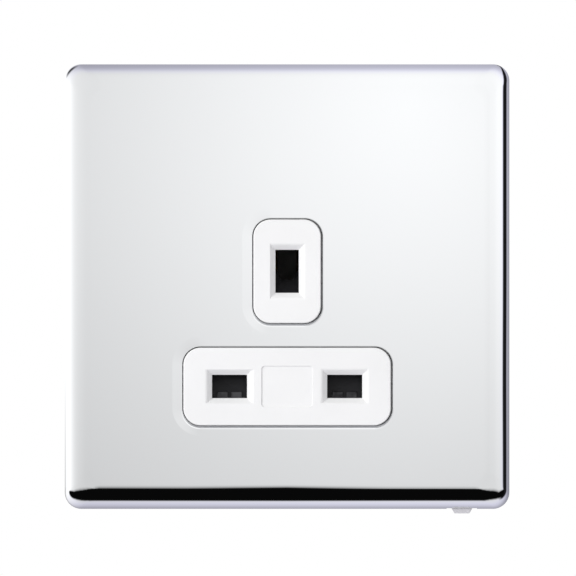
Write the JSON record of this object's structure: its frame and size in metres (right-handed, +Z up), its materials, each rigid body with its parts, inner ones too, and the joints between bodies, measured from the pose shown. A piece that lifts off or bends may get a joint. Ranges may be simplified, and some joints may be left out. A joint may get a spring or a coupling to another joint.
{
  "type": "unswitched wall socket",
  "caption": "Flush wall socket for three flat pins, with a clip-on polished metal plate, white moulded bosses, a sprung shutter and rear screw terminals.",
  "frame": {"origin": "middle of the square front plate, on the wall plane, half way between the two fixing slots", "axes": "+X to the right as seen from the room, +Y into the wall, +Z up"},
  "size_m": [0.086, 0.025, 0.0869],
  "materials": {
    "plate_chrome": "polished chrome plate on pressed sheet",
    "carrier_plastic": "translucent white moulded plastic",
    "zinc_steel": "bright zinc plate",
    "white_plastic": "smooth satin white",
    "black_plastic": "fine moulded texture",
    "spring_steel": "plain drawn spring steel",
    "grey_plastic": "moulded insulating board",
    "contact_brass": "stamped and folded strip",
    "terminal_brass": "machined bar",
    "screw_steel": "zinc plated screws",
    "back_plastic": null
  },
  "bodies": {
    "socket": {"front_plate": "plate_chrome", "plate_carrier": "carrier_plastic", "mounting_yoke": "zinc_steel", "front_moulding": "white_plastic", "shutter_spring": "spring_steel", "shutter_retainer": "grey_plastic", "line_contact": "contact_brass", "neutral_contact": "contact_brass", "earth_contact": "contact_brass", "line_terminal": "terminal_brass", "neutral_terminal": "terminal_brass", "earth_terminal": "terminal_brass", "line_terminal_screw": "screw_steel", "neutral_terminal_screw": "screw_steel", "earth_terminal_screw": "screw_steel", "rear_cover": "back_plastic", "cover_screws": "screw_steel", "earth_strap": "contact_brass", "plate_earth_spring": "spring_steel", "earth_rivet": "terminal_brass"},
    "shutter": {"shutter": "black_plastic"}
  },
  "joints": [
    {"name": "shutter_slide", "type": "slide", "parent": "socket", "child": "shutter", "axis": [0, 0, -1], "range_m": [0, 0.005], "stiffness_N_per_m": 150, "springref_m": -0.002, "deforming": ["shutter_spring"]}
  ]
}
